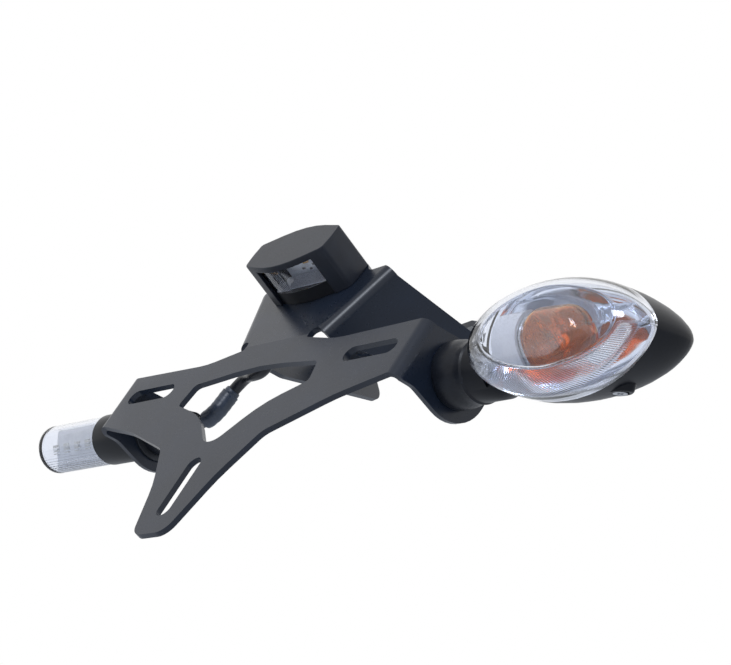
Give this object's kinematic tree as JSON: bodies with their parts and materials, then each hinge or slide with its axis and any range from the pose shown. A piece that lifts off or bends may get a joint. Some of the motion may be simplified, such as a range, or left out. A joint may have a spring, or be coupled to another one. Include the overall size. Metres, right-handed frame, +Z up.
{
  "type": "motorbike tail tidy",
  "caption": "Folded sheet number-plate hanger with a plate lamp, a leaf-shaped indicator on the right, a slim round indicator on the left and its lead.",
  "frame": {"origin": "on the rear face of the plate panel, midway between the two upper number-plate slots", "axes": "+X to the motorbike's right, +Y forwards, +Z up; the plate panel leans 37.5 degrees, top forward"},
  "size_m": [0.383, 0.1758, 0.1388],
  "materials": {
    "powder_coat": "satin black powder coat on folded steel sheet",
    "lamp_case": "satin dark grey moulding",
    "black_plastic": "fine-grained black moulding",
    "clear_plastic": "clear moulding with fine flutes",
    "circuit_board": "white circuit board",
    "led_yellow": "yellow phosphor chip",
    "led_clear": "pale phosphor chip",
    "steel": "bright zinc-plated steel",
    "black_steel": "black-plated steel",
    "stem_rubber": "satin black rubber",
    "pod_black": "semi-gloss black moulding",
    "body_black": "satin black turned body",
    "reflector_chrome": "metallised reflector with flutes",
    "white_plastic": "white moulding",
    "amber_glass": "amber bulb glass",
    "lead_rubber": "black cable jacket",
    "sleeve_plastic": "dark heat-shrink sleeve"
  },
  "bodies": {
    "root": {"bracket": "powder_coat", "lamp_housing": "lamp_case", "lamp_base": "black_plastic", "lamp_lens": "clear_plastic", "lamp_circuit_board": "circuit_board", "lamp_leds": "led_yellow", "lamp_washers": "steel", "lamp_screws": "steel", "right_indicator_stem": "stem_rubber", "right_indicator_housing": "pod_black", "right_indicator_lens": "clear_plastic", "right_indicator_reflector": "reflector_chrome", "right_indicator_bulb_holder": "white_plastic", "right_indicator_bulb": "amber_glass", "right_indicator_lens_screw": "steel", "right_indicator_stud": "steel", "right_indicator_washer": "black_steel", "right_indicator_nut": "steel", "left_indicator_body": "body_black", "left_indicator_lens": "clear_plastic", "left_indicator_reflector": "white_plastic", "left_indicator_led_board": "circuit_board", "left_indicator_leds": "led_clear", "left_indicator_stud": "steel", "left_indicator_washer": "black_steel", "left_indicator_nut": "steel", "left_indicator_boot": "lead_rubber", "left_lead": "lead_rubber", "left_lead_sleeve": "sleeve_plastic", "left_lead_connector": "black_plastic", "left_lead_clip": "black_plastic"}
  },
  "joints": []
}
